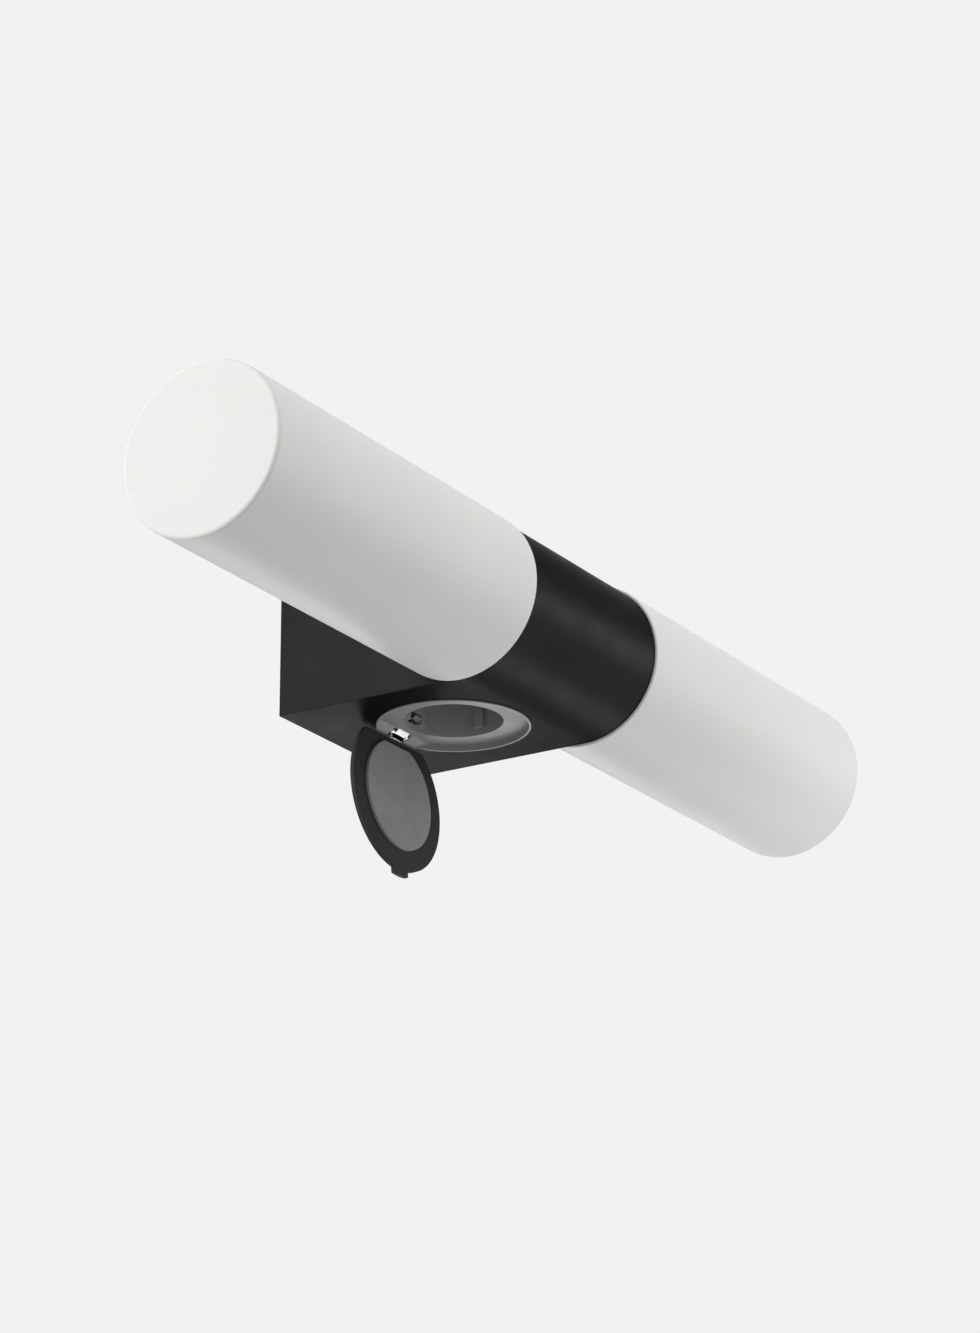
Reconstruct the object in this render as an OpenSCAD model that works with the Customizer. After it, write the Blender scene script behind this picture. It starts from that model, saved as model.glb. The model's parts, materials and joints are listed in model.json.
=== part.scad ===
// Bathroom wall light: two opal glass tubes either side of a metal body that
// carries an earthed socket outlet with a hinged lid on its underside.
// Millimetres. The origin is the centre of the wall face, -Y is the front, +Z is up.

/* [Body] */
// Width of the housing along the tubes
body_w = 94; // [90:1:110]
// Radius of the rounded front, which is also half the housing's height
body_r = 34; // [33:0.5:38]
// Distance of the tube axis from the wall
axis_out = 87; // [86.5:0.5:100]
// Wall thickness of the housing
body_wall = 2.2; // [1.8:0.1:2.6]

/* [Glass shades] */
// Outer diameter of a glass
shade_d = 70; // [66:1:76]
// Length of a glass outside the housing
shade_len = 178; // [165:1:230]
// Wall thickness of the glass
shade_wall = 3; // [2.4:0.1:3.6]
// Radius of the glass's closed edge
shade_edge = 1.6; // [1:0.1:2.2]

/* [Shade carriers] */
// Length of the carrier's collar inside the glass
collar_len = 12; // [10:0.5:16]
// Thickness of the carrier's collar wall
collar_wall = 2.4; // [2:0.1:3]
// Thickness of the carrier's base plate
carrier_base = 2.5; // [2:0.1:4]
// Section diameter of the sealing ring
ring_d = 3; // [2.6:0.1:3.4]

/* [Lampholders and bulbs] */
// Outer diameter of the threaded tube that carries a lampholder
nipple_d = 10; // [8:0.5:12]
// Bore of that threaded tube
nipple_bore = 7.2; // [6:0.1:7.4]
// Thickness of the lock nut inside the housing
nut_t = 3; // [2.5:0.1:5]
// Outer diameter of the lampholder's skirt
holder_d = 28; // [26:0.5:32]
// Length of the lampholder
holder_len = 36; // [33:0.5:42]
// Diameter of the bulb's screw cap
cap_d = 13.9; // [13:0.1:14.5]
// Length of the bulb's screw cap
cap_len = 24; // [22:0.5:27]
// Largest diameter of the bulb
bulb_d = 35; // [30:1:40]
// Length of the bulb past its screw cap
bulb_len = 72; // [60:1:80]

/* [Socket outlet] */
// Distance of the socket's centre from the wall
socket_out = 53.3; // [53:0.1:54.5]
// Outer radius of the rim that shows on the underside
rim_r = 31.5; // [30:0.1:31.8]
// Distance from the socket's centre to the flat edge on the wall side
rim_chord = 28.3; // [27.8:0.1:28.8]
// Width of the rim's lip
rim_lip = 0.9; // [0.7:0.1:1.2]
// Height of the lip past the housing's underside
rim_proud = 0.4; // [0.2:0.05:0.6]
// Depth of the recessed ring face, from the housing's underside
recess_depth = 2.1; // [2:0.05:2.4]
// Thickness of the bezel's flange
flange_t = 2; // [1.6:0.1:2.6]
// Width of the flange past the rim, inside the housing
flange_over = 2; // [1.4:0.1:2.2]
// Radius of the plug well
well_r = 20.3; // [19.8:0.1:20.6]
// Depth of the plug well
well_depth = 17.5; // [17:0.1:18]
// Wall thickness of the plug well
well_wall = 2.4; // [2:0.1:2.8]
// Thickness of the plug well's floor
well_floor = 2.5; // [2:0.1:3]
// Distance between the two contact holes
pin_pitch = 19; // [19:0.1:19.4]
// Diameter of a contact hole
pin_hole_d = 6; // [5.8:0.1:6.2]
// Width of the guide ribs in the plug well
guide_w = 4.6; // [4:0.1:5.4]
// Height of the guide ribs
guide_h = 1.8; // [1.4:0.1:2]
// Distance from the socket's centre to the flat lands that the earth clips stand in
land_y = 17.9; // [17.6:0.1:18.6]
// Thickness of the sheet of the earth strap
strap_t = 0.8; // [0.6:0.05:1]
// Width of the earth strap
strap_w = 5; // [4:0.1:6]
// Height of the cover behind the socket's contacts
cover_h = 15; // [13:0.5:17]
// Distance of the socket's two screws from its centre
ear_x = 38.5; // [38:0.1:39.2]
// Angle of the line through those screws, from the tubes' direction
ear_turn = -45; // [-55:1:-35]
// Height of the screw bosses above the housing's inner face
boss_h = 5.3; // [5:0.1:7]
// Radius of a screw boss
boss_r = 3.1; // [2.8:0.1:3.4]

/* [Lid] */
// Radius of the lid
lid_r = 31.85; // [31:0.05:32.5]
// Thickness of the lid
lid_t = 1.8; // [1.5:0.1:2.2]
// Radius of the seal pad on the lid's inner face
seal_r = 23.1; // [22:0.1:25]
// Thickness of the seal pad
seal_t = 1.2; // [0.8:0.1:1.6]
// Distance from the lid's centre to the seal pad's flat edge
seal_chord = 21.2; // [20:0.1:21.6]
// Width of the finger tab
tab_w = 9.8; // [8:0.1:14]
// Length of the finger tab past the lid's edge
tab_out = 2.5; // [1.5:0.1:4]
// Angle between the closed lid and the lid as it hangs
open_angle = 86.1; // [75:0.1:90]
// Distance of the hinge axis from the rim's flat edge
hinge_in = 1.6; // [1.5:0.05:1.9]
// Distance of the hinge axis above the housing's underside
hinge_up = 1.6; // [1.5:0.05:1.8]
// Diameter of the hinge pin
pin_d = 1.6; // [1.4:0.05:1.8]
// Width of the metal hinge leaf
leaf_w = 10.8; // [10:0.1:11.6]

/* [Wall bracket and wiring] */
// Thickness of the wall gasket
gasket_t = 2; // [1.5:0.1:3]
// Width of the gasket frame
gasket_w = 7; // [5:0.5:9]
// Sheet thickness of the wall bracket
bracket_t = 1.5; // [1.2:0.1:2]
// Depth of the bracket's folded flanges
bracket_flange = 14; // [13:0.5:18]
// Distance between the two wall fixing slots
fix_pitch = 60; // [54:1:64]
// Width of a fixing slot
fix_w = 4.5; // [4:0.1:5]
// Length of a fixing slot
fix_len = 9; // [8:0.5:11]
// Bore of the supply cable's grommet
grommet_bore = 9; // [8:0.5:11]
// Height of the grommet's centre, from the tube axis
grommet_z = -12; // [-13:0.5:-10]
// Distance between the poles of the terminal block
pole_pitch = 10; // [9:0.5:11]
// Distance of the terminal block's centre below the bracket's upper edge
block_drop = 16.75; // [16:0.25:18]
// Outer diameter of an insulated lead
lead_d = 2; // [1.8:0.1:2.1]
// Distance of the housing's two grub screws from the middle
grub_x = 28; // [24:0.5:34]

/* [Hidden] */
$fn = 96;
eps = 0.01;
// Clearance of a part that slides over, or drops into, another
fit = 0.1;
// Radial clearance of a shaft that turns or slides
running = 0.05;
// Clearance between loosely assembled parts
loose = 0.3;

half_w = body_w / 2;
inner_half_w = half_w - body_wall;
inner_r = body_r - body_wall;
underside = -body_r;
inner_floor = -inner_r;

shade_r = shade_d / 2;
shade_in = shade_r - shade_wall;
shade_gap = 0.15;
mouth_chamfer = 0.4;
shade_x0 = half_w + shade_gap;
shade_x1 = shade_x0 + shade_len;

collar_r = shade_in - 0.5;
collar_in = collar_r - collar_wall - ring_d / 2;
collar_chamfer = 0.6;
ring_r = shade_in - running - ring_d / 2;
ring_x = half_w + carrier_base + collar_len * 0.5;

nut_x = inner_half_w - nut_t;
nipple_x0 = nut_x - 3;
nipple_x1 = half_w + carrier_base + 6;
nut_af = nipple_d * 1.4;

holder_x0 = half_w + carrier_base;
holder_x1 = holder_x0 + holder_len;
holder_r = holder_d / 2;
holder_neck_r = holder_r - 4;
contact_r = 3.1;
shell_in = cap_d / 2 + fit;
shell_t = 0.6;
shell_out = shell_in + shell_t;
shell_len = 18;
cap_x0 = holder_x1 - cap_len;
tip_len = 2;
shell_x0 = cap_x0 - tip_len - 0.6;
shell_hole_r = 4.4;
contact_base = 2.5;
contact_tip_r = 2;
mouth_r = shell_out + 1.2;
tip_r = 2.2;
cap_neck = 6;
cap_flare = 0.6;
bulb_x0 = cap_x0 + cap_len;

chord_y = rim_chord - socket_out;
floor_z = underside + recess_depth;
flange_r = rim_r + flange_over;
flange_chord = rim_chord + flange_over + 1;
seat_t = 0.8;
flange_z0 = inner_floor + seat_t;
flange_z1 = flange_z0 + flange_t;
well_out = well_r + well_wall;
well_top = floor_z + well_depth;
back_z = well_top + well_floor;
well_foot_t = 1.5;
well_foot_w = 1.3;
pin_chamfer = 0.8;
boss_top = inner_floor + boss_h;
ear_t = 2;
ear_z1 = boss_top + ear_t;
arm_z1 = ear_z1 + ear_t;
ear_r = boss_r + 2 * fit + 1.7;
arm_r = 4;
arm_half_w = 3.2;
screw_r = 1.25;
screw_head_r = 2.8;
screw_head_t = 1.9;
screw_reach = 4;
cross_half = 1.7;
cross_t = 0.7;
cross_z = 0.8;

strap_y = well_out - strap_t / 2;
strap_slot = strap_w / 2 + loose;
notch_half = strap_w / 2 + 1.4;
notch_z1 = flange_z1 + 4;
clip_end_z = flange_z1 + 0.9;
clip_nose_z = flange_z1 + 1.9;
clip_bend_z = flange_z1 + 3.6;
sleeve_r = pin_hole_d / 2 + 0.3;
sleeve_bore_r = 2.45;
sleeve_h = 12;
sleeve_slot = 0.8;
cover_r = well_out - 1.6;
cover_wall = 1.6;
lug_z = back_z + sleeve_h - 3;
lug_half = 2;

hinge_y = chord_y - hinge_in;
hinge_z = underside + hinge_up;
lid_centre = hinge_y + socket_out;
lid_face = -(hinge_up + rim_proud + running);
lid_edge = 2.5;
pin_r = pin_d / 2;
barrel_r = pin_r + 0.4;
leaf_t = 0.6;
leaf_end = 8;
leaf_bend = -lid_edge + fit;
leaf_z0 = lid_face - (lid_t + leaf_t) / 2;
leaf_top = -0.15;
leaf_low = -1.5;
arm_t = 1;
gap_half = leaf_w / 2 + 0.9;
gap_y = lid_centre - barrel_r - 0.5;
pin_half = gap_half + 5;
spring_half = leaf_w / 2 - arm_t - 0.45;
spring_t = 0.35;
spring_rise = 0.5;
spring_y0 = lid_centre - 2.7;
spring_y1 = spring_y0 + 1.3;
spring_drop = 1.45;
ledge_w = 4.2;
ledge_foot = 0.2;

bracket_y0 = -gasket_t;
bracket_y1 = bracket_y0 - bracket_t;
bracket_front = -(gasket_t + bracket_flange);
bracket_half_w = inner_half_w - loose;
bracket_low = inner_floor + loose;
pad_h = 4;
bracket_high = inner_r - pad_h - running;
hook_half_w = 5;
hook_y0 = bracket_y1 - 5;
hook_y1 = bracket_y1 - 2;
hook_z1 = bracket_low + bracket_t + 1.6;
grub_y = bracket_y1 - 6.5;
grommet_neck_r = grommet_bore / 2 + 3.45;
grommet_lip_r = grommet_bore / 2 + 5;
grommet_back_t = 1.6;
grommet_front_t = 2;
grub_r = 2;
grub_z1 = body_r - 0.4;
grub_hex_r = 1.15;
grub_hex_depth = 2;

earth_x = 5 - grub_x;
earth_screw_r = 1.95;
earth_head_r = 3.5;
earth_head_t = 2.4;
earth_tail = 1.4;
driver_slot = 1;
washer_r = 4.4;
washer_y = bracket_y1 - 0.8;
ring_t = 0.7;
ring_y = washer_y - ring_t;
barrel_y = ring_t - lead_d / 2 - 0.5;

block_half_w = pole_pitch * 1.6;
block_half_h = pole_pitch * 0.8;
block_z = bracket_high - block_drop;
block_y = bracket_y1 - pole_pitch;
wire_y = bracket_y1 - pole_pitch * 0.55;
block_top = block_z + block_half_h;
block_low = block_z - block_half_h;
wire_hole_r = lead_d + 0.3;
tower_h = pole_pitch * 0.5;
tower_r = pole_pitch * 0.32;
clamp_r = pole_pitch * 0.18;
clamp_y = block_y - tower_h + 1.4;
clamp_slot = 0.6;
sink_r = pole_pitch * 0.26;
sink_depth = pole_pitch * 0.6;
lead_r = lead_d / 2;
lead_pair = lead_r + 0.15;
lead_sides = 8;
lead_steps = 3;

// Placement helpers

module cyl_x(x0, x1, r)
  translate([x0, 0, 0]) rotate([0, 90, 0]) cylinder(r = r, h = x1 - x0);

module cyl_y(y0, y1, r)
  translate([0, y0, 0]) rotate([-90, 0, 0]) cylinder(r = r, h = y1 - y0);

module cyl_z(z0, z1, r)
  translate([0, 0, z0]) cylinder(r = r, h = z1 - z0);

module block(low, high)
  translate(low) cube(high - low);

module along_x(w)
  rotate([90, 0, 90]) linear_extrude(w, center = true) children();

module on_left()
  mirror([1, 0, 0]) children();

module both_sides() {
  children();
  mirror([1, 0, 0]) children();
}

// The socket's two screws stand opposite each other
module both_ears()
  for (a = [ear_turn, ear_turn + 180]) rotate(a) children();

module at_tube_axis()
  translate([0, -axis_out, 0]) children();

module at_socket()
  translate([0, -socket_out, 0]) children();

// Turns a profile of [radius, x] points round the tube axis
module spun_on_x(profile)
  at_tube_axis() rotate([0, 90, 0]) rotate_extrude() polygon(profile);

// The lid is drawn closed, round its hinge axis, and turned to the way it hangs
module at_lid()
  translate([0, hinge_y, hinge_z]) rotate([open_angle, 0, 0]) children();

// Arc points from one angle to another
function arc(cx, cy, r, a0, a1, n = 6) =
  [for (i = [0:n]) let (a = a0 + (a1 - a0) * i / n) [cx + r * cos(a), cy + r * sin(a)]];

// Housing

module d_profile(r, back) {
  translate([-axis_out, 0]) circle(r = r);
  translate([-axis_out, -r]) square([axis_out + back, 2 * r]);
}

module cut_circle(r, chord)
  intersection() {
    circle(r = r);
    translate([-r, -r]) square([2 * r, r + chord]);
  }

module housing_bosses() {
  at_socket() both_ears()
    translate([ear_x, 0, 0]) cyl_z(inner_floor - eps, boss_top, boss_r);
  both_sides() {
    translate([grub_x, grub_y, 0]) cyl_z(inner_r - pad_h, inner_r + eps, grub_r + 2);
    block([grub_x - hook_half_w, hook_y0, inner_floor - eps],
          [grub_x + hook_half_w, hook_y1, hook_z1]);
  }
}

module housing()
  color("#232425") difference() {
    union() {
      difference() {
        along_x(body_w) d_profile(body_r, 0);
        along_x(body_w - 2 * body_wall) d_profile(inner_r, 1);
      }
      housing_bosses();
    }
    at_socket() translate([0, 0, underside - 1])
      linear_extrude(body_wall + 2) cut_circle(rim_r + fit, rim_chord + fit);
    at_socket() both_ears()
      translate([ear_x, 0, 0]) cyl_z(boss_top - screw_reach - fit, boss_top + 1, screw_r + running);
    at_tube_axis() cyl_x(-half_w - 1, half_w + 1, nipple_d / 2 + fit);
    both_sides() translate([grub_x, grub_y, 0]) cyl_z(0, body_r + 1, grub_r + running);
  }

module grub_screws()
  color("#3a3a3c") both_sides() translate([grub_x, grub_y, 0]) difference() {
    cyl_z(bracket_high + running, grub_z1, grub_r);
    translate([0, 0, grub_z1 - grub_hex_depth]) cylinder(r = grub_hex_r, h = 3, $fn = 6);
  }

// Wall side

module wall_gasket()
  color("#2b2b2b") difference() {
    block([-bracket_half_w, bracket_y0, -inner_r + loose], [bracket_half_w, 0, inner_r - loose]);
    block([-bracket_half_w + gasket_w, bracket_y0 - 1, -inner_r + loose + gasket_w],
          [bracket_half_w - gasket_w, 1, inner_r - loose - gasket_w]);
  }

module fixing_slot()
  rotate([-90, 0, 0]) linear_extrude(bracket_t + 2, center = true) {
    square([fix_len - fix_w, fix_w], center = true);
    for (s = [-1, 1]) translate([s * (fix_len - fix_w) / 2, 0]) circle(d = fix_w);
  }

module wall_bracket()
  color("#c3c6c8") difference() {
    union() {
      block([-bracket_half_w, bracket_y1, bracket_low], [bracket_half_w, bracket_y0, bracket_high]);
      block([-bracket_half_w, bracket_front, bracket_low],
            [bracket_half_w, bracket_y0, bracket_low + bracket_t]);
      block([-bracket_half_w, bracket_front, bracket_high - bracket_t],
            [bracket_half_w, bracket_y0, bracket_high]);
    }
    both_sides() {
      translate([fix_pitch / 2, (bracket_y0 + bracket_y1) / 2, 0]) fixing_slot();
      block([grub_x - hook_half_w - fit, hook_y0 - fit, bracket_low - 1],
            [grub_x + hook_half_w + fit, hook_y1 + fit, bracket_low + bracket_t + 1]);
    }
    translate([0, 0, grommet_z]) cyl_y(bracket_y1 - 1, bracket_y0 + 1, grommet_neck_r + running);
    translate([earth_x, 0, grommet_z])
      cyl_y(bracket_y1 - 1, bracket_y0 + 1, earth_screw_r + running);
    translate([0, 0, block_z]) cyl_y(bracket_y1 - 1, bracket_y0 + 1, screw_r + fit);
  }

module cable_grommet()
  color("#1d1d1d") translate([0, 0, grommet_z]) difference() {
    union() {
      cyl_y(bracket_y0, bracket_y0 + grommet_back_t, grommet_lip_r);
      cyl_y(bracket_y1 - eps, bracket_y0 + eps, grommet_neck_r);
      cyl_y(bracket_y1 - grommet_front_t, bracket_y1, grommet_lip_r);
    }
    cyl_y(bracket_y1 - grommet_front_t - 1, 1, grommet_bore / 2);
  }

module earth_screw()
  color("#d9b25a") translate([earth_x, 0, grommet_z]) {
    cyl_y(washer_y, bracket_y1, washer_r);
    cyl_y(ring_y - eps, bracket_y0 + earth_tail, earth_screw_r);
    difference() {
      cyl_y(ring_y - earth_head_t, ring_y, earth_head_r);
      block([-earth_head_r - 1, ring_y - earth_head_t - 1, -driver_slot / 2],
            [earth_head_r + 1, ring_y - earth_head_t / 2, driver_slot / 2]);
    }
  }

// Terminal block

module at_poles()
  for (i = [-1:1]) translate([i * pole_pitch, 0, block_z]) children();

module at_clamps()
  at_poles() for (s = [-1, 1]) translate([0, 0, s * block_half_h / 2]) children();

module terminal_block()
  color("#ecebe4") difference() {
    union() {
      block([-block_half_w, block_y, block_z - block_half_h],
            [block_half_w, bracket_y1, block_z + block_half_h]);
      at_clamps() cyl_y(block_y - tower_h, block_y + 1, tower_r);
    }
    at_poles() translate([0, wire_y, 0]) cyl_z(-block_half_h - 1, block_half_h + 1, wire_hole_r);
    at_clamps() cyl_y(block_y - tower_h - 1, wire_y, clamp_r + fit);
    translate([pole_pitch / 2, 0, block_z]) cyl_y(block_y - 1, bracket_y1 + 1, screw_r + fit);
    translate([pole_pitch / 2, 0, block_z]) cyl_y(block_y - 1, block_y + sink_depth, sink_r);
  }

module terminal_clamp_screws()
  color("#c9c9cb") at_clamps() difference() {
    cyl_y(clamp_y, wire_y - lead_r - running, clamp_r);
    block([-clamp_r - 1, clamp_y - 1, -clamp_slot / 2], [clamp_r + 1, clamp_y + 0.8, clamp_slot / 2]);
  }

module terminal_fixing_screw()
  color("#c9c9cb") translate([pole_pitch / 2, 0, block_z]) {
    cyl_y(block_y + sink_depth - 1.7, block_y + sink_depth, sink_r - 2 * fit);
    cyl_y(block_y + sink_depth - eps, bracket_y1 - running, screw_r);
  }

// Socket outlet

module socket_gasket()
  color("#1b1b1b") at_socket() translate([0, 0, inner_floor]) linear_extrude(seat_t) difference() {
    cut_circle(flange_r, flange_chord);
    cut_circle(rim_r + fit, rim_chord + fit);
  }

// Raised ledge along the flat edge, which holds the hinge pin
module hinge_ledge()
  intersection() {
    translate([0, 0, underside]) linear_extrude(flange_z1 - underside) cut_circle(rim_r, rim_chord);
    along_x(2 * rim_r) polygon([
      [rim_chord - ledge_w, floor_z + eps], [rim_chord - ledge_w, floor_z - ledge_foot],
      [rim_chord - rim_lip, underside], [rim_chord, underside], [rim_chord, floor_z + eps]
    ]);
  }

module ear_cup()
  translate([ear_x, 0, 0]) difference() {
    union() {
      cyl_z(flange_z0, ear_z1, ear_r);
      block([-(ear_x - flange_r) - 2, -ear_r, flange_z0], [0, ear_r, ear_z1]);
    }
    cyl_z(flange_z0 - 1, boss_top, boss_r + 2 * fit);
    cyl_z(boss_top - 1, ear_z1 + 1, screw_r + 2 * fit);
  }

module socket_bezel()
  color("#73746f") at_socket() difference() {
    union() {
      difference() {
        translate([0, 0, underside - rim_proud])
          linear_extrude(flange_z0 - underside + rim_proud + eps) cut_circle(rim_r, rim_chord);
        translate([0, 0, underside - rim_proud - 1])
          linear_extrude(recess_depth + rim_proud + 1)
            cut_circle(rim_r - rim_lip, rim_chord - rim_lip);
      }
      translate([0, 0, flange_z0]) linear_extrude(flange_t) cut_circle(flange_r, flange_chord);
      hinge_ledge();
      both_ears() ear_cup();
    }
    cyl_z(floor_z - 1, flange_z1 + 2, well_r);
    block([-gap_half, gap_y, underside - rim_proud - 1],
          [gap_half, rim_chord + 1, hinge_z + barrel_r + loose]);
    block([-gap_half, lid_centre + leaf_bend - loose, underside - rim_proud - 1],
          [gap_half, gap_y + eps, floor_z]);
    translate([0, lid_centre, hinge_z]) cyl_x(-pin_half, pin_half, pin_r + running);
    block([-spring_half - fit, spring_y0 - spring_t / 2 - fit, floor_z - 1],
          [spring_half + fit, gap_y + eps, floor_z + spring_rise + running]);
  }

module socket_insert()
  color("#5d5e5b") at_socket() difference() {
    union() {
      cyl_z(flange_z1, back_z, well_out);
      cyl_z(flange_z1, flange_z1 + well_foot_t, well_out + well_foot_w);
      both_ears() {
        block([well_out - 1, -arm_half_w, ear_z1], [ear_x, arm_half_w, arm_z1]);
        translate([ear_x, 0, 0]) cyl_z(ear_z1, arm_z1, arm_r);
      }
    }
    difference() {
      intersection() {
        cyl_z(flange_z1 - 1, well_top, well_r);
        block([-well_r, -land_y, flange_z1 - 1], [well_r, land_y, well_top]);
      }
      both_sides() block([well_r - guide_h, -guide_w / 2, flange_z1 - 2],
                         [well_r + 1, guide_w / 2, well_top + 1]);
    }
    both_sides() {
      translate([pin_pitch / 2, 0, 0]) cyl_z(well_top - 1, back_z + 1, pin_hole_d / 2);
      translate([pin_pitch / 2, 0, well_top - eps])
        cylinder(r1 = pin_hole_d / 2 + pin_chamfer, r2 = pin_hole_d / 2, h = pin_chamfer);
    }
    both_ears() translate([ear_x, 0, 0]) cyl_z(ear_z1 - 1, arm_z1 + 1, screw_r + 2 * fit);
    for (a = [0, 180]) rotate(a) {
      block([-strap_slot, strap_y - strap_t / 2 - loose, flange_z1 - 1],
            [strap_slot, well_out + well_foot_w + 1, back_z + 1]);
      block([-notch_half, land_y - 1, flange_z1 - 1], [notch_half, strap_y, notch_z1]);
    }
  }

// Unit normal of a line's piece i, and the mitred offset direction at its point i
function side_of(p, i) = let (d = unit(p[i + 1] - p[i])) [-d[1], d[0]];
function mitre(p, i) =
  let (a = side_of(p, max(i - 1, 0)), b = side_of(p, min(i, len(p) - 2))) (a + b) / (1 + a * b);

// Sheet metal of thickness t and width w, bent along a line of [y, z] points
module bent_sheet(p, t, w)
  along_x(w) polygon(concat(
    [for (i = [0:len(p) - 1]) p[i] + mitre(p, i) * t / 2],
    [for (i = [len(p) - 1:-1:0]) p[i] - mitre(p, i) * t / 2]
  ));

module earth_strap() {
  half = [
    [land_y + 0.9, clip_end_z],
    [land_y - 0.3, clip_nose_z],
    [strap_y, clip_bend_z],
    [strap_y, back_z + strap_t / 2]
  ];
  other_half = [for (i = [len(half) - 1:-1:0]) [-half[i][0], half[i][1]]];
  color("#b9bbbc") at_socket() bent_sheet(concat(half, other_half), strap_t, strap_w);
}

module contact_sleeves()
  color("#c8a14a") at_socket() both_sides() translate([pin_pitch / 2, 0, 0]) difference() {
    union() {
      cyl_z(back_z, back_z + sleeve_h, sleeve_r);
      block([-lug_half, 0, lug_z - lug_half], [lug_half, sleeve_r + 4, lug_z + lug_half]);
    }
    cyl_z(back_z - 1, back_z + sleeve_h - 1.5, sleeve_bore_r);
    block([-sleeve_slot / 2, -sleeve_r - 1, back_z - 1], [sleeve_slot / 2, 0, back_z + sleeve_h - 3]);
    translate([0, 0, lug_z]) cyl_y(sleeve_r, sleeve_r + 5, lead_r + fit);
  }

module socket_back_cover()
  color("#3d3e3d") at_socket() difference() {
    cyl_z(back_z, back_z + cover_h, cover_r);
    cyl_z(back_z - 1, back_z + cover_h - cover_wall, cover_r - cover_wall);
    block([-strap_slot, -cover_r - 1, back_z - 1], [strap_slot, cover_r + 1, back_z + strap_t + fit]);
    for (i = [-1:1]) translate([i * pin_pitch / 2, 0, lug_z])
      cyl_y(cover_r - 8, cover_r + 1, lead_r + 2 * fit);
  }

module socket_screws()
  color("#c9c9cb") at_socket() both_ears() translate([ear_x, 0, 0]) difference() {
    union() {
      cyl_z(boss_top - screw_reach, arm_z1 + eps, screw_r);
      cyl_z(arm_z1, arm_z1 + screw_head_t, screw_head_r);
    }
    for (a = [0, 90]) rotate(a)
      block([-cross_half, -cross_t / 2, arm_z1 + cross_z], [cross_half, cross_t / 2, arm_z1 + 4]);
  }

// Lid and hinge

module hinge_pin()
  color("#d8dadc") translate([0, hinge_y, hinge_z]) cyl_x(-pin_half + fit, pin_half - fit, pin_r);

module lid_spring()
  color("#e6e8ea") at_socket()
    bent_sheet([
      [spring_y0, floor_z + spring_rise],
      [spring_y0, floor_z],
      [spring_y1, floor_z - spring_drop]
    ], spring_t, 2 * spring_half);

module lid_outline() {
  cut_circle(lid_r, lid_centre - lid_edge);
  intersection() {
    circle(r = lid_r + tab_out);
    translate([-tab_w / 2, -lid_r - tab_out]) square([tab_w, lid_r]);
  }
}

module socket_lid()
  color("#2c2d2e") at_lid() difference() {
    translate([0, -lid_centre, lid_face - lid_t]) linear_extrude(lid_t) lid_outline();
    block([-leaf_w / 2 - fit, -leaf_end - fit, leaf_z0 - running],
          [leaf_w / 2 + fit, 0, leaf_z0 + leaf_t + running]);
  }

module lid_seal()
  color("#6a6a69") at_lid() translate([0, -lid_centre, lid_face])
    linear_extrude(seal_t) cut_circle(seal_r, seal_chord);

module lid_hinge_leaf()
  color("#e6e8ea") at_lid() difference() {
    union() {
      both_sides() {
        cyl_x(leaf_w / 2 - arm_t, leaf_w / 2, barrel_r);
        block([leaf_w / 2 - arm_t, leaf_bend, leaf_top - leaf_t], [leaf_w / 2, -pin_r, leaf_top]);
        block([leaf_w / 2 - arm_t, leaf_bend, leaf_z0], [leaf_w / 2, leaf_bend + leaf_t, leaf_top]);
      }
      block([-leaf_w / 2, leaf_bend, leaf_z0], [leaf_w / 2, leaf_bend + leaf_t, leaf_low]);
      block([-leaf_w / 2, -leaf_end, leaf_z0], [leaf_w / 2, leaf_bend + leaf_t, leaf_z0 + leaf_t]);
    }
    cyl_x(-leaf_w, leaf_w, pin_r + running);
  }

// Lamps, right-hand side; the left-hand side mirrors it

module glass_shade() {
  t = shade_wall;
  e = shade_edge;
  c = mouth_chamfer;
  spun_on_x(concat(
    [[shade_in + c, shade_x0], [shade_r - c, shade_x0], [shade_r, shade_x0 + c]],
    arc(shade_r - e, shade_x1 - e, e, 0, 90),
    [[0, shade_x1], [0, shade_x1 - t]],
    arc(shade_in - e, shade_x1 - t - e, e, 90, 0),
    [[shade_in, shade_x0 + c]]
  ));
}

module shade_carrier() {
  x0 = half_w;
  x1 = half_w + carrier_base;
  x2 = x1 + collar_len;
  difference() {
    spun_on_x([
      [nipple_d / 2 + fit, x0], [collar_r, x0], [collar_r, x2 - collar_chamfer],
      [collar_r - collar_chamfer, x2], [collar_in, x2], [collar_in, x1],
      [nipple_d / 2 + fit, x1]
    ]);
    at_tube_axis() translate([ring_x, 0, 0]) rotate([0, 90, 0]) rotate_extrude()
      translate([ring_r, 0]) circle(d = ring_d + fit);
    spun_on_x([
      [ring_r, ring_x - ring_d / 2 - running], [collar_r + 1, ring_x - ring_d / 2 - running],
      [collar_r + 1, ring_x + ring_d / 2 + running], [ring_r, ring_x + ring_d / 2 + running]
    ]);
  }
}

module shade_seal()
  at_tube_axis() translate([ring_x, 0, 0]) rotate([0, 90, 0]) rotate_extrude()
    translate([ring_r, 0]) circle(d = ring_d);

module lampholder() {
  r = holder_r;
  x0 = holder_x0;
  x1 = holder_x1;
  bottom = shell_x0 - shell_t;
  spun_on_x([
    [nipple_d / 2 + fit, x0], [holder_neck_r, x0], [holder_neck_r, x0 + 8], [r, x0 + 10],
    [r, x1 - 6], [r - 1.5, x1 - 1], [r - 2.5, x1], [mouth_r, x1],
    [mouth_r, x1 - 2], [shell_out + fit, x1 - 3], [shell_out + fit, bottom],
    [contact_r + fit, bottom], [contact_r + fit, nipple_x1 + fit],
    [nipple_d / 2 + fit, nipple_x1 + fit]
  ]);
}

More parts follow.
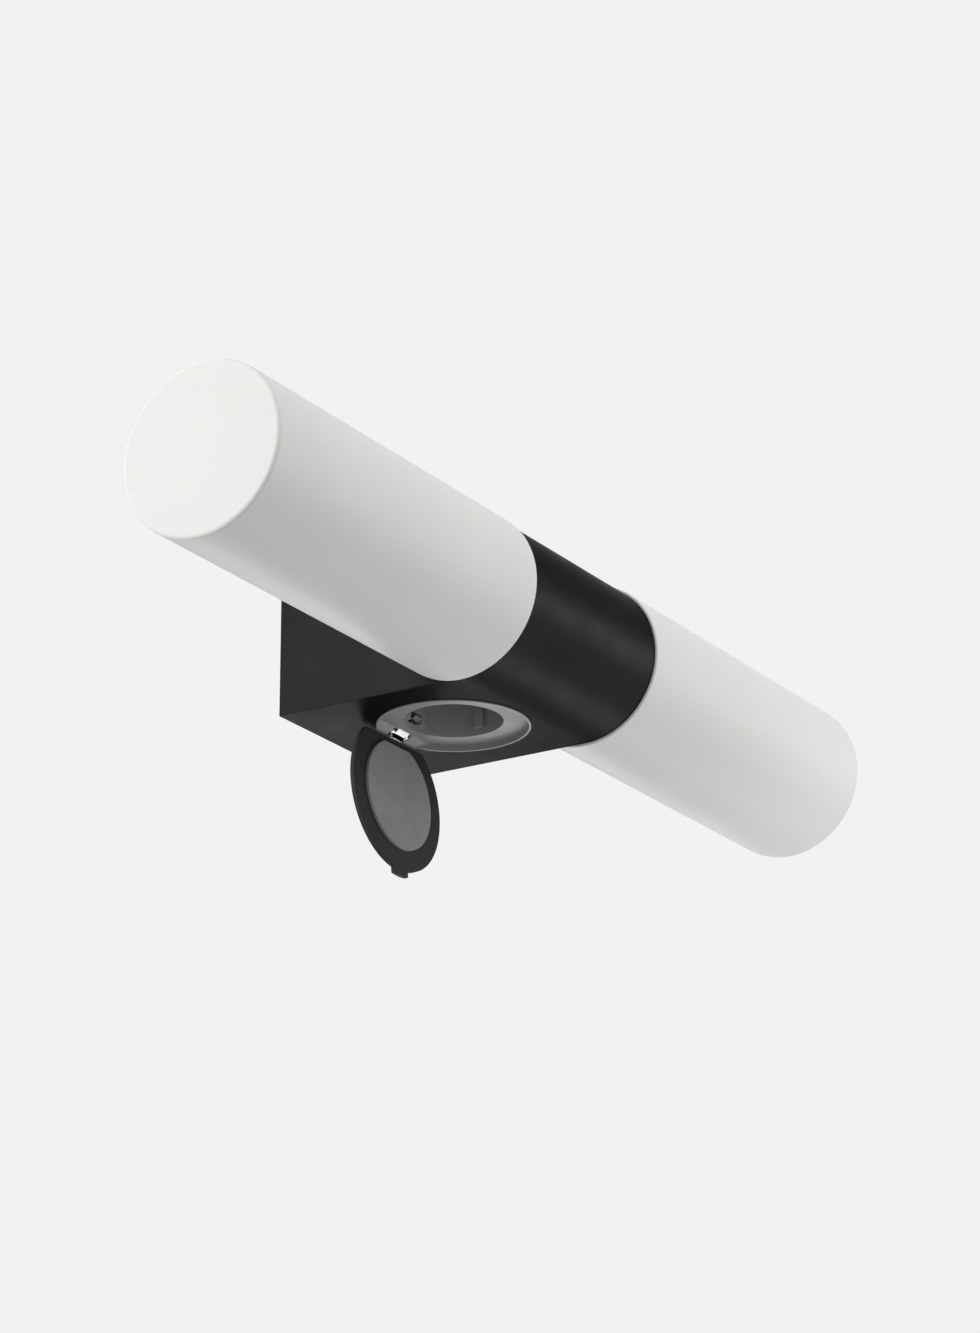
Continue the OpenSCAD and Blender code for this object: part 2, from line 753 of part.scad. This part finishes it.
module holder_shell()
  at_tube_axis() difference() {
    cyl_x(shell_x0 - shell_t + running, shell_x0 + shell_len, shell_out);
    cyl_x(shell_x0, shell_x0 + shell_len + 1, shell_in);
    cyl_x(shell_x0 - 2, shell_x0 + 1, shell_hole_r);
  }

module centre_contact() {
  base = shell_x0 - shell_t;
  top = cap_x0 - tip_len - fit;
  spun_on_x([
    [0, base - contact_base], [contact_r, base - contact_base], [contact_r, base],
    [contact_tip_r, base], [contact_tip_r, top], [0, top]
  ]);
}

module holder_nipple()
  at_tube_axis() difference() {
    cyl_x(nipple_x0, nipple_x1, nipple_d / 2);
    cyl_x(nipple_x0 - 1, nipple_x1 + 1, nipple_bore / 2);
  }

module lock_nut()
  at_tube_axis() difference() {
    translate([nut_x, 0, 0]) rotate([0, 90, 0])
      cylinder(d = nut_af / cos(30), h = nut_t - running, $fn = 6);
    cyl_x(nut_x - 1, inner_half_w + 1, nipple_d / 2 + running);
  }

module bulb_cap()
  spun_on_x([
    [0, cap_x0 - tip_len], [tip_r, cap_x0 - tip_len], [tip_r + 0.4, cap_x0 - 0.6],
    [cap_d / 2 - 1.6, cap_x0], [cap_d / 2, cap_x0 + 2], [cap_d / 2, bulb_x0 - cap_neck],
    [cap_d / 2 + cap_flare, bulb_x0], [0, bulb_x0]
  ]);

// Candle-shaped globe: the radius follows a sine that leans towards the cap
module bulb_globe() {
  steps = 24;
  globe_share = 0.6;
  globe_lean = 0.85;
  neck = cap_d / 2 + cap_flare;
  spun_on_x(concat(
    [[0, bulb_x0], [neck, bulb_x0]],
    [for (i = [1:steps - 1]) let (t = i / steps)
      [neck * (1 - t) + (bulb_d / 2 - neck * globe_share) * sin(180 * pow(t, globe_lean)),
       bulb_x0 + bulb_len * t]],
    [[0, bulb_x0 + bulb_len]]
  ));
}

// Internal leads: a tube swept along a smooth curve through chosen points

function along(p, i) =
  i < 0 ? 2 * p[0] - p[1] :
  i > len(p) - 1 ? 2 * p[len(p) - 1] - p[len(p) - 2] : p[i];

function smooth_at(a, b, c, d, t) =
  0.5 * (2 * b + (c - a) * t + (2 * a - 5 * b + 4 * c - d) * t * t
         + (3 * b - a - 3 * c + d) * t * t * t);

function smooth(p) = concat(
  [for (i = [0:len(p) - 2]) for (k = [0:lead_steps - 1])
    smooth_at(along(p, i - 1), p[i], p[i + 1], along(p, i + 2), k / lead_steps)],
  [p[len(p) - 1]]
);

function unit(v) = v / norm(v);

module lead(points) {
  path = smooth(points);
  n = len(path);
  m = lead_sides;
  rings = [for (i = [0:n - 1])
    let (
      t = unit(path[min(i + 1, n - 1)] - path[max(i - 1, 0)]),
      u = unit(cross(t, [0.31, 0.42, 0.85])),
      v = cross(t, u)
    )
    for (k = [0:m - 1]) path[i] + lead_r * (cos(360 * k / m) * u + sin(360 * k / m) * v)];
  sides = [for (i = [0:n - 2]) for (k = [0:m - 1])
    let (a = i * m + k, b = i * m + (k + 1) % m)
    each [[a, b + m, b], [a, a + m, b + m]]];
  ends = [[for (k = [0:m - 1]) k], [for (k = [m - 1:-1:0]) (n - 1) * m + k]];
  polyhedron(points = rings, faces = concat(sides, ends));
}

// Leads of one lamp, drawn for the right-hand side: live from pole -1, neutral from pole 1
module lamp_leads(side) {
  for (i = [-1, 1]) {
    z = -i * lead_pair;
    x = side * i * pole_pitch + lead_pair;
    drop = i > 0 ? lead_d * 1.15 : 0;
    lead([
      [x, wire_y, block_top - 3],
      [x, wire_y, block_top],
      [x + 0.3, wire_y - 1.8, block_top + 3.6 - drop * 0.4],
      [x * 0.9 + 1.5, wire_y - 7, block_top + 5.5 - drop],
      [(x + inner_half_w * 0.4) / 2, bracket_front - bracket_flange * 0.85, block_top + 5.2 - drop],
      [inner_half_w * 0.55 - drop, (ring_y - axis_out) * 0.58, block_top - 2 - drop],
      [nipple_x0 - nipple_d * 1.1 - 0.8 * drop, -axis_out + nipple_d * 1.4, nipple_d * 0.6 + z],
      [nipple_x0 - nipple_d / 2, -axis_out + lead_d * 1.1, lead_d * 0.4 + z],
      [nipple_x0 + 1, -axis_out, z],
      [nipple_x1 - 1, -axis_out, z]
    ]);
  }
}

module socket_leads()
  for (i = [-1:1]) {
    x = i == 0 ? lead_pair : i * pole_pitch;
    end_x = i * pin_pitch / 2;
    end_y = -socket_out + (i == 0 ? cover_r - lead_d * 2.5 : sleeve_r + 1.5);
    low_z = min(lug_z + 0.3, block_low - lead_d * 2.4);
    color(["#7a5230", "#7fa63a", "#3f6fb0"][i + 1]) lead([
      [x, wire_y, block_low + 3],
      [x, wire_y, block_low],
      [x, wire_y - lead_d * 0.7, block_low - lead_d * 1.6],
      [end_x, wire_y - pole_pitch * 0.55, low_z],
      [end_x, -socket_out + cover_r + 3, lug_z],
      [end_x, -socket_out + cover_r - 2, lug_z],
      [end_x, end_y, lug_z]
    ]);
  }

// Ring terminal of the earth lead, with its crimped barrel
module earth_ring()
  difference() {
    union() {
      cyl_y(0, ring_t, 3.8);
      translate([0, barrel_y, 0]) cyl_z(4.4, 9, lead_r + 0.5);
      block([-1.4, 0, 2], [1.4, ring_t, 6]);
    }
    cyl_y(-1, ring_t + 1, earth_screw_r + fit);
    translate([0, barrel_y, 0]) cyl_z(5.2, 10, lead_r + running);
  }

module earth_lead()
  color("#7fa63a") {
    y = ring_y + barrel_y;
    d = sin(45);
    translate([earth_x, ring_y, grommet_z]) rotate([0, 45, 0]) earth_ring();
    lead([
      [earth_x + 6 * d, y, grommet_z + 6 * d],
      [earth_x + 9.5 * d, y, grommet_z + 9.5 * d],
      [earth_x + 10.5, y - 0.4, grommet_z + 10],
      [earth_x + 15, (y + wire_y) / 2, grommet_z + 11.4],
      [-lead_pair - 2.6, wire_y, block_low - 3.2],
      [-lead_pair, wire_y, block_low - 0.2],
      [-lead_pair, wire_y, block_low + 3]
    ]);
  }

housing();
wall_gasket();
wall_bracket();
grub_screws();
cable_grommet();
terminal_block();
terminal_clamp_screws();
terminal_fixing_screw();
earth_screw();
socket_gasket();
socket_bezel();
socket_insert();
contact_sleeves();
earth_strap();
socket_back_cover();
socket_screws();
hinge_pin();
lid_spring();
socket_lid();
lid_seal();
lid_hinge_leaf();
color("#dcdcdc") on_left() shade_carrier();  // shade_carrier_left
color("#dcdcdc") shade_carrier();  // shade_carrier_right
color("#8f8f8c") on_left() shade_seal();  // shade_seal_left
color("#8f8f8c") shade_seal();  // shade_seal_right
color("#f4f4f2") on_left() glass_shade();  // glass_shade_left
color("#f4f4f2") glass_shade();  // glass_shade_right
color("#e8e8e4") on_left() lampholder();  // lampholder_left
color("#e8e8e4") lampholder();  // lampholder_right
color("#cfc08a") on_left() holder_shell();  // holder_shell_left
color("#cfc08a") holder_shell();  // holder_shell_right
color("#c8a14a") on_left() centre_contact();  // centre_contact_left
color("#c8a14a") centre_contact();  // centre_contact_right
color("#c3c6c8") on_left() holder_nipple();  // holder_nipple_left
color("#c3c6c8") holder_nipple();  // holder_nipple_right
color("#c3c6c8") on_left() lock_nut();  // lock_nut_left
color("#c3c6c8") lock_nut();  // lock_nut_right
color("#d0d2d4") on_left() bulb_cap();  // bulb_cap_left
color("#d0d2d4") bulb_cap();  // bulb_cap_right
color("#f2f2ee") on_left() bulb_globe();  // bulb_globe_left
color("#f2f2ee") bulb_globe();  // bulb_globe_right
color("#3f6fb0") on_left() lamp_leads(-1);  // lamp_leads_left
color("#3f6fb0") lamp_leads(1);  // lamp_leads_right
socket_leads();
earth_lead();
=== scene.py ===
import json
import math

import bpy
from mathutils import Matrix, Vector

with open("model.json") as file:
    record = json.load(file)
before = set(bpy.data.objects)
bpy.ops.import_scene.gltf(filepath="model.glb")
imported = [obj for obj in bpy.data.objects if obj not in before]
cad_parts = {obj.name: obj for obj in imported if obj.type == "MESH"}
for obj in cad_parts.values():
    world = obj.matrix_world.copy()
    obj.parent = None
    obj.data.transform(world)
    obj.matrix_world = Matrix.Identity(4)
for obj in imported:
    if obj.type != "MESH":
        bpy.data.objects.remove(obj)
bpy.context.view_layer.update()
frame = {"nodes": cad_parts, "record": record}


def add_object(name, data):
    added = bpy.data.objects.new(name, data)
    bpy.context.scene.collection.objects.link(added)
    return added


def look_along(camera_or_lamp, direction):
    camera_or_lamp.rotation_mode = "QUATERNION"
    camera_or_lamp.rotation_quaternion = direction.to_track_quat("-Z", "Y")


# Camera at the photograph's place, below the light and to its left

CAMERA_PLACE = Vector((-1.42054, -0.95664, -0.62245))
CAMERA_AZIMUTH = math.radians(-58.05)
CAMERA_ELEVATION = math.radians(-20.04)
CAMERA_LENS = 118.8
SENSOR_WIDTH = 36.0
CAMERA_NEAR = 0.05
CAMERA_FAR = 60.0


def add_camera():
    data = bpy.data.cameras.new("camera")
    data.lens = CAMERA_LENS
    data.sensor_width = SENSOR_WIDTH
    data.clip_start = CAMERA_NEAR
    data.clip_end = CAMERA_FAR
    camera = add_object("camera", data)
    camera.location = CAMERA_PLACE
    back = Vector((
        math.sin(CAMERA_AZIMUTH) * math.cos(CAMERA_ELEVATION),
        -math.cos(CAMERA_AZIMUTH) * math.cos(CAMERA_ELEVATION),
        math.sin(CAMERA_ELEVATION),
    ))
    look_along(camera, -back)
    bpy.context.scene.camera = camera


add_camera()


# Materials

# Most of a noise's values lie between these two
NOISE_LOW = 0.3
NOISE_HIGH = 0.7
BEVEL_SAMPLES = 6


def tone(colour, factor):
    return tuple(min(1.0, c * factor) for c in colour)


class Nodes:
    """Short calls for building a material's node tree."""

    def __init__(self, name):
        self.material = bpy.data.materials.new(name)
        self.material.use_nodes = True
        self.tree = self.material.node_tree
        self.shader = self.tree.nodes["Principled BSDF"]
        self.place = self.tree.nodes.new("ShaderNodeTexCoord").outputs["Object"]

    def add(self, kind, **values):
        node = self.tree.nodes.new(kind)
        for key, value in values.items():
            setattr(node, key, value)
        return node

    def link(self, a, b):
        self.tree.links.new(a, b)

    def set(self, **values):
        """Values of the shader's own sockets, their names with _ for a space."""
        for key, value in values.items():
            self.shader.inputs[key.replace("_", " ")].default_value = value

    def stretched(self, scale):
        node = self.add("ShaderNodeMapping")
        node.inputs["Scale"].default_value = scale
        self.link(self.place, node.inputs["Vector"])
        return node.outputs["Vector"]

    def noise(self, scale, detail=4.0, roughness=0.55, vector=None):
        node = self.add("ShaderNodeTexNoise")
        node.inputs["Scale"].default_value = scale
        node.inputs["Detail"].default_value = detail
        node.inputs["Roughness"].default_value = roughness
        self.link(vector or self.place, node.inputs["Vector"])
        return node.outputs["Fac"]

    def ramp(self, value, stops):
        node = self.add("ShaderNodeValToRGB")
        band = node.color_ramp
        while len(band.elements) < len(stops):
            band.elements.new(0.5)
        for element, (place, colour) in zip(band.elements, stops):
            element.position = place
            element.color = (*colour, 1.0)
        self.link(value, node.inputs["Fac"])
        return node

    def colour(self, value, stops):
        """Base colour by the value, and the ramp that gives it."""
        node = self.ramp(value, stops)
        self.link(node.outputs["Color"], self.shader.inputs["Base Color"])
        return node

    def clouded(self, value, colour, darkest, palest):
        """Base colour between two tones of one colour."""
        self.colour(value, [(NOISE_LOW, tone(colour, darkest)), (NOISE_HIGH, tone(colour, palest))])

    def rough(self, value, smoothest, roughest):
        node = self.add("ShaderNodeMapRange")
        node.inputs["From Min"].default_value = NOISE_LOW
        node.inputs["From Max"].default_value = NOISE_HIGH
        node.inputs["To Min"].default_value = smoothest
        node.inputs["To Max"].default_value = roughest
        self.link(value, node.inputs["Value"])
        self.link(node.outputs["Result"], self.shader.inputs["Roughness"])

    def relief(self, height, strength, distance, edge=0.0):
        """Fine relief, over edges rounded by the radius edge."""
        node = self.add("ShaderNodeBump")
        node.inputs["Strength"].default_value = strength
        node.inputs["Distance"].default_value = distance
        self.link(height, node.inputs["Height"])
        if edge > 0.0:
            round_edge = self.add("ShaderNodeBevel", samples=BEVEL_SAMPLES)
            round_edge.inputs["Radius"].default_value = edge
            self.link(round_edge.outputs["Normal"], node.inputs["Normal"])
        self.link(node.outputs["Normal"], self.shader.inputs["Normal"])


def enamel(name, colour):
    n = Nodes(name)
    n.clouded(n.noise(9.0, detail=3.0), colour, 0.88, 1.12)
    n.rough(n.noise(60.0), 0.25, 0.35)
    n.relief(n.noise(900.0, detail=2.0), strength=0.12, distance=0.0002, edge=0.0008)
    return n.material


def satin_black(name, colour, tint):
    """Satin coat over metal, whose reflection hardly grows at a flat angle."""
    n = Nodes(name)
    n.clouded(n.noise(9.0, detail=3.0), colour, 0.92, 1.08)
    n.rough(n.noise(60.0), 0.38, 0.46)
    n.set(Metallic=1.0, Specular_Tint=(tint, tint, tint, 1.0))
    n.relief(n.noise(900.0, detail=2.0), strength=0.1, distance=0.0002, edge=0.0008)
    return n.material


def moulded(name, colour, rough=(0.42, 0.55), level=0.5):
    n = Nodes(name)
    n.clouded(n.noise(25.0), colour, 0.9, 1.1)
    n.rough(n.noise(140.0), *rough)
    n.set(Specular_IOR_Level=level)
    n.relief(n.noise(2600.0, detail=2.0), strength=0.25, distance=0.0001, edge=0.0004)
    return n.material


def rubber(name, colour):
    n = Nodes(name)
    n.clouded(n.noise(70.0), colour, 0.93, 1.07)
    n.rough(n.noise(220.0), 0.6, 0.8)
    n.set(Specular_IOR_Level=0.3)
    n.relief(n.noise(1800.0, detail=3.0), strength=0.3, distance=0.0001, edge=0.0003)
    return n.material


def metal(name, colour, rough=(0.22, 0.4), along=(1.0, 1.0, 1.0)):
    """Bare metal, its grain drawn out where a factor of along is small."""
    n = Nodes(name)
    grain = n.noise(160.0, detail=6.0, roughness=0.6, vector=n.stretched(along))
    n.clouded(grain, colour, 0.86, 1.06)
    n.rough(grain, *rough)
    n.set(Metallic=1.0)
    n.relief(grain, strength=0.08, distance=0.0001, edge=0.0002)
    return n.material


def opal_glass(name, darker, paler):
    n = Nodes(name)
    n.colour(n.noise(7.0, detail=2.0), [(0.35, darker), (0.65, paler)])
    n.rough(n.noise(18.0, detail=2.0), 0.46, 0.52)
    n.set(Subsurface_Weight=0.2, Subsurface_Scale=0.003, Coat_Weight=0.02, Coat_Roughness=0.3,
          Specular_IOR_Level=0.1)
    n.relief(n.noise(30.0, detail=2.0), strength=0.04, distance=0.0004, edge=0.0004)
    return n.material


def glazed(name, colour):
    n = Nodes(name)
    n.clouded(n.noise(30.0), colour, 0.95, 1.03)
    n.rough(n.noise(90.0), 0.14, 0.26)
    n.set(Coat_Weight=0.5, Coat_Roughness=0.08)
    n.relief(n.noise(70.0, detail=2.0), strength=0.08, distance=0.0003, edge=0.0006)
    return n.material


def insulation(name, colours):
    """Each lead of the node takes one of the colours, by its own random value."""
    n = Nodes(name)
    island = n.add("ShaderNodeNewGeometry").outputs["Random Per Island"]
    stops = [(i / len(colours), colour) for i, colour in enumerate(colours)]
    if len(stops) == 1:
        stops.append((1.0, colours[0]))
    n.colour(island, stops).color_ramp.interpolation = "CONSTANT"
    n.rough(n.noise(120.0), 0.32, 0.45)
    n.relief(n.noise(900.0), strength=0.1, distance=0.0001)
    return n.material


ALONG_X = (0.06, 1.0, 1.0)
OPAL_DARKER = (0.80, 0.805, 0.79)
OPAL_PALER = (0.84, 0.842, 0.83)
BROWN = (0.13, 0.055, 0.02)
BLUE = (0.03, 0.11, 0.38)
GREEN = (0.13, 0.3, 0.04)

# Finish of each material slot
FINISHES = {
    "black_metal": satin_black("black_satin_coat", (0.029, 0.029, 0.0294), tint=0.42),
    "black_screw": metal("blackened_steel", (0.1, 0.1, 0.105)),
    "zinc_steel": metal("zinc_plated_steel", (0.5, 0.508, 0.518), (0.54, 0.68), ALONG_X),
    "black_rubber": rubber("black_rubber", (0.022, 0.022, 0.022)),
    "white_plastic": moulded("white_plastic", (0.78, 0.77, 0.73)),
    "brass": metal("brass", (0.72, 0.52, 0.24)),
    "grey_plastic": moulded("grey_plastic", (0.325, 0.333, 0.315), (0.48, 0.6), level=0.3),
    "dark_plastic": moulded("dark_plastic", (0.32, 0.322, 0.311)),
    "lid_plastic": moulded("lid_plastic", (0.046, 0.0463, 0.0467), (0.6, 0.7), level=0.05),
    "seal_foam": rubber("grey_seal", (0.3, 0.3, 0.296)),
    "bright_chrome": metal("bright_chrome", (0.9, 0.9, 0.91), (0.24, 0.34)),
    "spring_steel": metal("spring_steel", (0.93, 0.93, 0.93), (0.3, 0.4)),
    "pin_steel": metal("pin_steel", (0.94, 0.94, 0.94), (0.26, 0.36)),
    "white_metal": enamel("white_enamel", (0.76, 0.76, 0.75)),
    "silicone": rubber("silicone", (0.55, 0.55, 0.53)),
    "opal_glass": opal_glass("opal_glass", OPAL_DARKER, OPAL_PALER),
    "white_ceramic": glazed("white_ceramic", (0.82, 0.81, 0.77)),
    # Nickel-plated brass coloured near black: painted shade of the earth clip's dark notch in the
    # plug well
    "nickel_brass": metal("nickel_brass_painted_shade", (0.075, 0.074, 0.067), (0.42, 0.52)),
    "cap_alloy": metal("cap_alloy", (0.72, 0.73, 0.74), (0.25, 0.38), ALONG_X),
    "lead_sleeve": insulation("lamp_lead_insulation", [BROWN, BLUE]),
    "socket_sleeve": insulation("socket_lead_insulation", [BROWN, GREEN, BLUE]),
    "earth_sleeve": insulation("earth_lead_insulation", [GREEN]),
}

# The threaded shells keep the nickel plate's own brightness; the earth strap, which has the same
# slot, is coloured near black as painted shade for its notch in the plug well
SHELL_FINISH = metal("nickel_plate", (0.5, 0.49, 0.46), (0.3, 0.42))
OWN_FINISHES = {"holder_shell_left": SHELL_FINISH, "holder_shell_right": SHELL_FINISH}

for part in frame["record"]["subparts"]:
    mesh_object = frame["nodes"][part["node"]]
    finish = OWN_FINISHES.get(part["node"], FINISHES[part["material_slot"]])
    mesh_object.data.materials.clear()
    mesh_object.data.materials.append(finish)


# Stage and light

FLOOR_LEVEL = -3.0
FLOOR_RADIUS = 6.0
FLOOR_RINGS = 24
FLOOR_SIDES = 96
FLOOR_DARKER = (0.80, 0.80, 0.80)
FLOOR_PALER = (0.83, 0.83, 0.83)
FLOOR_LIFT = 0.38
BACKGROUND = (0.887, 0.887, 0.887, 1.0)
WHITE = (1.0, 1.0, 1.0, 1.0)
WORLD_LEVEL = 0.485

MIDDLE = (0.0, -0.087, 0.0)
LEFT_END = (-0.225, -0.087, 0.0)
RIGHT_END = (0.2, -0.087, 0.0)


def seen_rays(tree):
    """1 for rays that show a thing, straight or in gloss or glass, 0 for those that light it."""
    path = tree.nodes.new("ShaderNodeLightPath")
    seen = path.outputs["Is Camera Ray"]
    for ray in ("Is Glossy Ray", "Is Transmission Ray"):
        either = tree.nodes.new("ShaderNodeMath")
        either.operation = "MAXIMUM"
        tree.links.new(seen, either.inputs[0])
        tree.links.new(path.outputs[ray], either.inputs[1])
        seen = either.outputs[0]
    return seen


def floor_mesh():
    """Round floor of rings around one middle point."""
    points = [(0.0, 0.0, FLOOR_LEVEL)]
    for ring in range(1, FLOOR_RINGS + 1):
        reach = FLOOR_RADIUS * ring / FLOOR_RINGS
        for side in range(FLOOR_SIDES):
            turn = 2 * math.pi * side / FLOOR_SIDES
            points.append((reach * math.cos(turn), reach * math.sin(turn), FLOOR_LEVEL))
    faces = [(0, 1 + side, 1 + (side + 1) % FLOOR_SIDES) for side in range(FLOOR_SIDES)]
    for ring in range(FLOOR_RINGS - 1):
        for side in range(FLOOR_SIDES):
            a = 1 + ring * FLOOR_SIDES + side
            b = 1 + ring * FLOOR_SIDES + (side + 1) % FLOOR_SIDES
            faces.append((a, a + FLOOR_SIDES, b + FLOOR_SIDES, b))
    mesh = bpy.data.meshes.new("floor")
    mesh.from_pydata(points, [], faces)
    return mesh


def add_floor():
    floor = add_object("floor", floor_mesh())
    n = Nodes("floor_paint")
    n.colour(n.noise(3.0), [(NOISE_LOW, FLOOR_DARKER), (NOISE_HIGH, FLOOR_PALER)])
    n.rough(n.noise(12.0), 0.7, 0.8)
    n.set(Emission_Color=WHITE)
    lift = n.add("ShaderNodeMath", operation="MULTIPLY")
    n.link(seen_rays(n.tree), lift.inputs[0])
    lift.inputs[1].default_value = FLOOR_LIFT
    n.link(lift.outputs[0], n.shader.inputs["Emission Strength"])
    floor.data.materials.append(n.material)


def add_world():
    """Even light on the object, before a pale background."""
    world = bpy.data.worlds.new("studio")
    bpy.context.scene.world = world
    world.use_nodes = True
    tree = world.node_tree
    tree.nodes.clear()
    mix = tree.nodes.new("ShaderNodeMixShader")
    tree.links.new(seen_rays(tree), mix.inputs["Fac"])
    for socket, (colour, level) in enumerate([(WHITE, WORLD_LEVEL), (BACKGROUND, 1.0)], start=1):
        background = tree.nodes.new("ShaderNodeBackground")
        background.inputs["Color"].default_value = colour
        background.inputs["Strength"].default_value = level
        tree.links.new(background.outputs[0], mix.inputs[socket])
    out = tree.nodes.new("ShaderNodeOutputWorld")
    tree.links.new(mix.outputs[0], out.inputs["Surface"])


def add_lamp(name, place, target, size, watts, glossy=True, diffuse=True):
    data = bpy.data.lights.new(name, "AREA")
    data.shape = "RECTANGLE"
    data.size, data.size_y = size
    data.energy = watts
    lamp = add_object(name, data)
    lamp.location = place
    look_along(lamp, Vector(target) - Vector(place))
    lamp.visible_camera = False
    lamp.visible_glossy = glossy
    lamp.visible_diffuse = diffuse


add_floor()
add_world()

# Soft lamps for the pale glass, which the black coat doesn't mirror
add_lamp("front_top", (0.0, -1.8, 1.8), MIDDLE, size=(1.6, 1.2), watts=21.0, glossy=False)
add_lamp("left_end_soft", (-1.5, 0.85, 0.28), LEFT_END, size=(0.6, 0.6), watts=18.8, glossy=False)
add_lamp("right_end_soft", (0.45, -0.26, -0.21), RIGHT_END, size=(0.2, 0.2), watts=0.38,
         glossy=False)

# Lamps for the soft bands of light on the black coat
add_lamp("front_band", (0.96, -0.79, 0.18), MIDDLE, size=(0.3, 0.3), watts=1.25)
add_lamp("low_band", (0.96, -0.145, -0.72), MIDDLE, size=(0.3, 0.3), watts=1.2)
add_lamp("under_band", (1.0, 0.82, -0.45), MIDDLE, size=(0.5, 0.5), watts=3.8, diffuse=False)
add_lamp("side_band", (-0.94, 0.36, 0.41), LEFT_END, size=(0.4, 0.4), watts=0.65, diffuse=False)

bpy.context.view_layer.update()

scene = bpy.context.scene
scene.view_settings.view_transform = "Standard"
